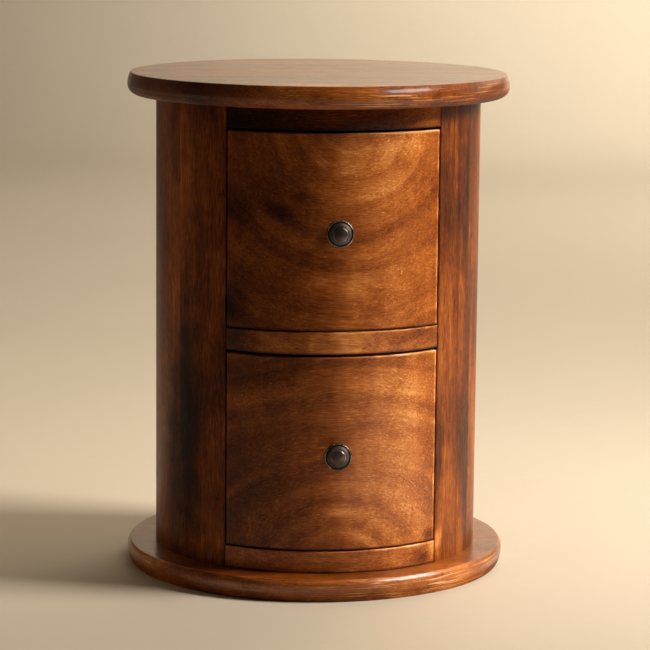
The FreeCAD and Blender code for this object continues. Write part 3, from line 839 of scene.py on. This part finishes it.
def area_light(
    name, azimuth, elevation, distance, size, power, colour, aim=CHEST_MIDDLE, spread=180,
    diffuse=True, glossy=True,
):
    """Soft lamp around the chest. Azimuth 0 is in front of the drawers, positive to the right."""
    lamp = bpy.data.lights.new(name, "AREA")
    lamp.shape = "RECTANGLE"
    lamp.size, lamp.size_y = size
    lamp.energy = power
    lamp.color = colour
    lamp.spread = math.radians(spread)
    a, e = math.radians(azimuth), math.radians(elevation)
    away = Vector((math.sin(a) * math.cos(e), -math.cos(a) * math.cos(e), math.sin(e)))
    holder = bpy.data.objects.new(name, lamp)
    holder.visible_camera = False
    holder.visible_diffuse = diffuse
    holder.visible_glossy = glossy
    holder.location = CHEST_MIDDLE + away * distance
    holder.rotation_euler = (holder.location - Vector(aim)).to_track_quat("Z", "Y").to_euler()
    bpy.context.scene.collection.objects.link(holder)
    return holder


def light_only(lamp, names):
    """Keeps a lamp to some of the pieces."""
    group = bpy.data.collections.new(lamp.name + "_receivers")
    for name in names:
        group.objects.link(nodes[name])
    lamp.light_linking.receiver_collection = group


class World(Shader):
    """The same short calls, for the surroundings."""

    def __init__(self, name):
        self.world = bpy.data.worlds.new(name)
        self.world.use_nodes = True
        self.tree = self.world.node_tree


def studio_world(name):
    """Pale studio behind the chest, brighter to the right, and dim in front of it."""
    s = World(name)
    x, y, z = s.split(s.node("ShaderNodeTexCoord").outputs["Generated"])
    behind = s.spread(y, low=-0.25, high=0.55)
    left = s.spread(x, low=-0.60, high=0.10, start=0.03, end=0.45)
    right = s.spread(x, low=0.05, high=0.40, start=0.0, end=0.95)
    sky = s.tree.nodes["Background"]
    s.put(sky.inputs["Strength"], s.add(SKY_LEAST, s.times(behind, s.add(left, right))))
    s.put(sky.inputs["Color"], SKY_COLOUR)
    return s.world


def light_scene():
    """Puts up the lamps. The top has a glint of its own, so that its flat face does not glare from behind."""
    lamps = {name: area_light(name, **settings) for name, settings in LAMPS.items()}
    light_only(lamps["glint"], [name for name in nodes if name != "round_top"])
    light_only(lamps["rim_glint"], ["round_top"])
    bpy.context.scene.world = studio_world("studio")
    view = bpy.context.scene.view_settings
    view.view_transform = "Standard"
    view.look = "None"


def make_camera():
    """Camera at the photograph's angle. Its place, turns and lens come from a fit to the chest's edges."""
    distance, height = 2.8738, 0.7111
    around, pitch, yaw, roll = 0.1226, 0.1619, -0.003, 0.0093
    focal_pixels, frame_pixels, sensor, reach = 2850.8, 650, 36.0, 60
    right = Vector((1, 0, 0))
    ahead = Vector((0, math.cos(pitch), -math.sin(pitch)))
    upward = Vector((0, math.sin(pitch), math.cos(pitch)))
    side = right * math.cos(yaw) + ahead * math.sin(yaw)
    ahead = ahead * math.cos(yaw) - right * math.sin(yaw)
    across = side * math.cos(roll) + upward * math.sin(roll)
    upward = upward * math.cos(roll) - side * math.sin(roll)
    place = Matrix((across, upward, -ahead)).transposed().to_4x4()
    place.translation = Vector((0, -distance, height))
    lens = bpy.data.cameras.new("photo_camera")
    lens.sensor_width = sensor
    lens.lens = focal_pixels / frame_pixels * sensor
    lens.clip_end = reach
    camera = bpy.data.objects.new("photo_camera", lens)
    camera.matrix_world = Matrix.Rotation(-around, 4, "Z") @ place
    bpy.context.scene.collection.objects.link(camera)
    bpy.context.scene.camera = camera


dress_carcass()
dress_drawers()
dress_inside()
make_floor()
light_scene()
make_camera()

bpy.context.view_layer.update()
